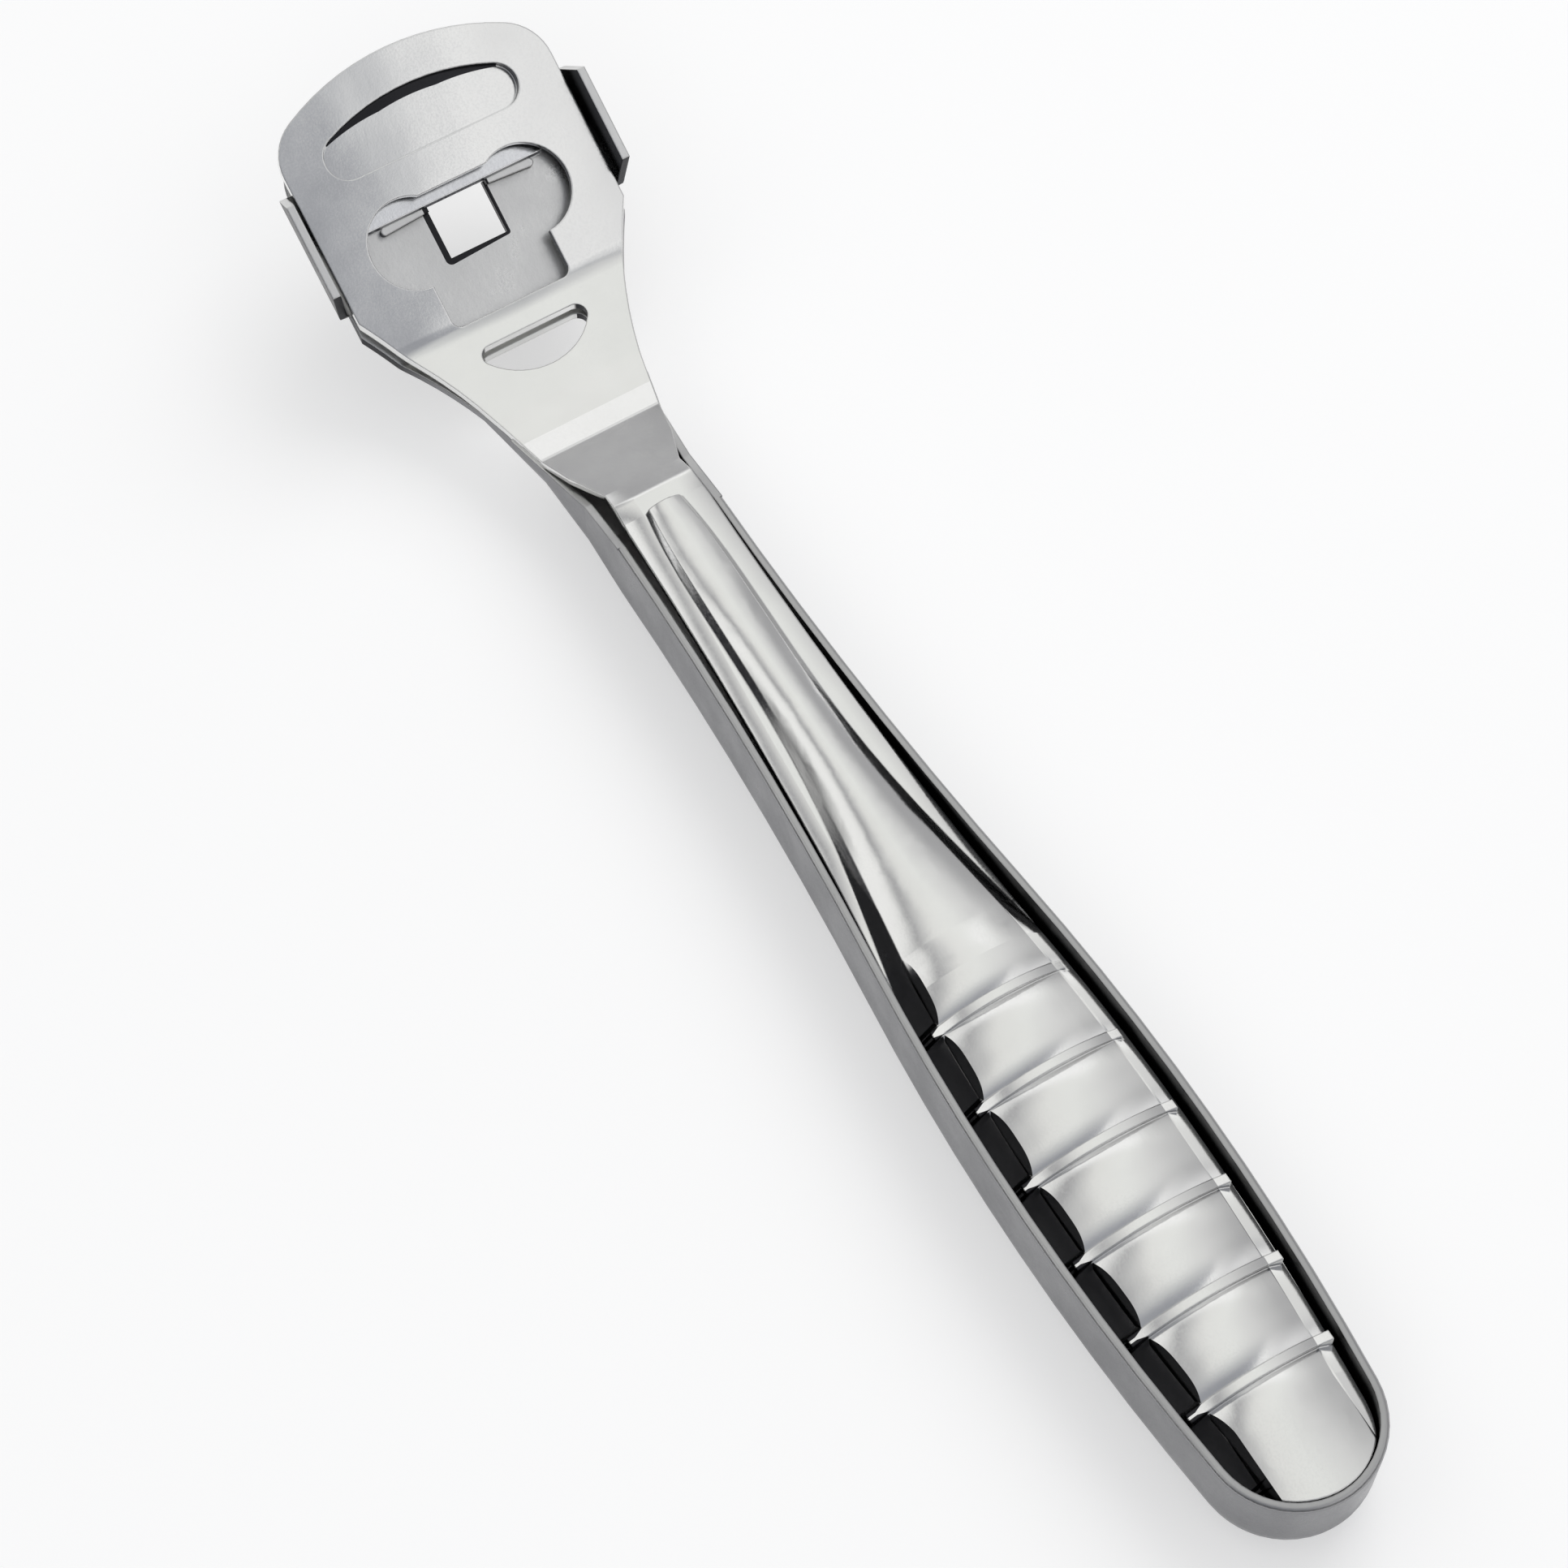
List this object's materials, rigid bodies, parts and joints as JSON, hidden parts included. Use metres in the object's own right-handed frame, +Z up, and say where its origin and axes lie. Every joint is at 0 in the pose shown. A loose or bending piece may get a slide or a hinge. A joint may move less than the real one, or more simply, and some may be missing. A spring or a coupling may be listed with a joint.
{
  "type": "callus shaver",
  "caption": "Stainless steel callus shaver with a pitched cutting head, an exchangeable blade strip under a cap plate and a hollow handle with a ribbed grip.",
  "frame": {"origin": "middle of the overall length and width, on the level of the handle's flat underside", "axes": "+X from the cutting head to the round tip of the handle, +Y across the tool, +Z up through the ribbed cover"},
  "size_m": [0.1616, 0.032, 0.0227],
  "materials": {
    "polished_steel": "polished",
    "satin_steel": "satin",
    "blade_steel": "ground"
  },
  "bodies": {
    "root": {"upper_arm": "polished_steel", "lower_arm": "satin_steel", "blade": "blade_steel"}
  },
  "joints": []
}
